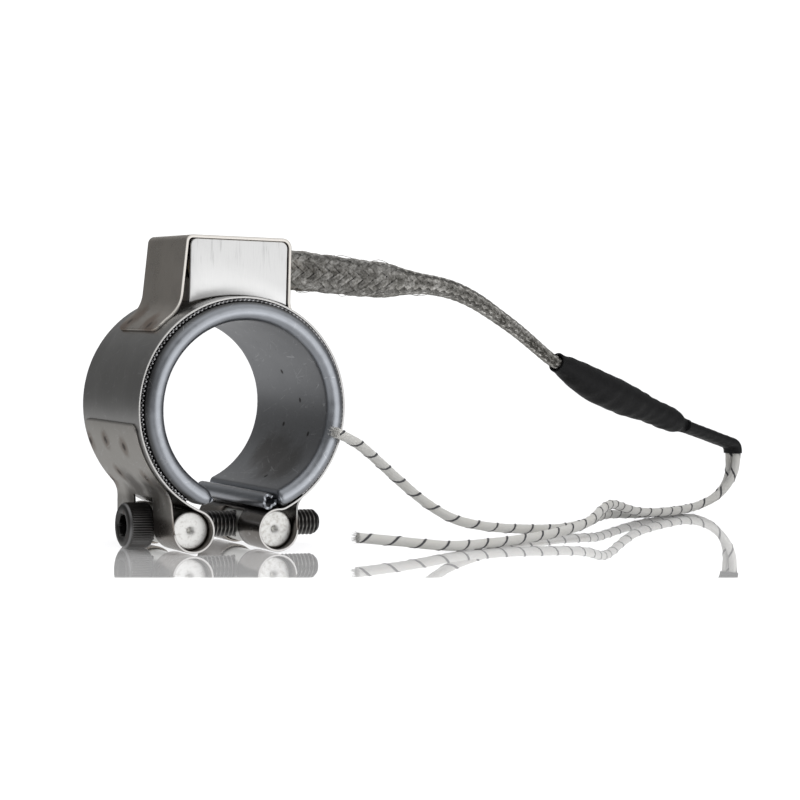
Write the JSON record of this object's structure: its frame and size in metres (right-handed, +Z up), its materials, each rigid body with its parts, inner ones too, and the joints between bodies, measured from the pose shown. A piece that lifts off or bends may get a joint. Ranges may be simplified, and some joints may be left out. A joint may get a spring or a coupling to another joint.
{
  "type": "band heater",
  "caption": "Barrel clamp band heater for a round nozzle, with a sheet metal terminal box, wire braid over the leads, heat-shrink joints and bare lead ends.",
  "frame": {"origin": "centre of the clamp bore at the middle of the heater's width", "axes": "+Y along the bore, the front rim faces -Y; +X along the clamp screw towards its threaded end; +Z up towards the terminal box"},
  "size_m": [0.1763, 0.0706, 0.0578],
  "materials": {
    "sheath_steel": "satin cold rolled stainless sheet, bluish grey, fine brushed grain",
    "band_steel": "satin stainless band with crimped, serrated edges",
    "strap_steel": "satin grey stainless strap, slightly heat stained at the spot welds",
    "cover_steel": "satin warm grey stainless sheet",
    "plate_steel": "bright galvanised sheet with faint vertical streaks",
    "barrel_steel": "zinc plated turned steel, matte end faces",
    "screw_steel": "blackened alloy steel with an oily sheen",
    "mica": "layered mica sheet, silvery tan",
    "resistance_ribbon": "nickel chrome ribbon, dull",
    "mineral_pad": "compressed mineral fibre felt",
    "steatite": "unglazed steatite",
    "terminal_metal": "nickel plated brass",
    "lead_sleeve": "varnished glass fibre braid with one dark tracer thread",
    "braid_wire": "braided galvanised wire, each strand shiny",
    "shrink_black": "black heat-shrink tubing, semi-matte"
  },
  "bodies": {
    "heater": {"inner_sheath": "sheath_steel", "end_roll": "sheath_steel", "mica_inner": "mica", "mica_outer": "mica", "heating_ribbon": "resistance_ribbon", "insulation_pad": "mineral_pad", "outer_sheath": "band_steel", "clamp_strap": "strap_steel", "plain_barrel": "barrel_steel", "threaded_barrel": "barrel_steel", "box_cover": "cover_steel", "box_front_plate": "plate_steel", "box_back_plate": "plate_steel", "terminal_block": "steatite", "terminal_a": "terminal_metal", "terminal_b": "terminal_metal", "lead_tail_a": "lead_sleeve", "lead_tail_b": "lead_sleeve", "braid_ferrule": "plate_steel", "braid_sleeve": "braid_wire", "heat_shrink_large": "shrink_black", "heat_shrink_small": "shrink_black", "lead_a": "lead_sleeve", "lead_b": "lead_sleeve"},
    "screw": {"clamp_screw": "screw_steel"}
  },
  "joints": [
    {"name": "screw_turn", "type": "hinge", "parent": "heater", "child": "screw", "pos_m": [0, 0, -0.02218], "axis": [1, 0, 0], "continuous": true}
  ]
}
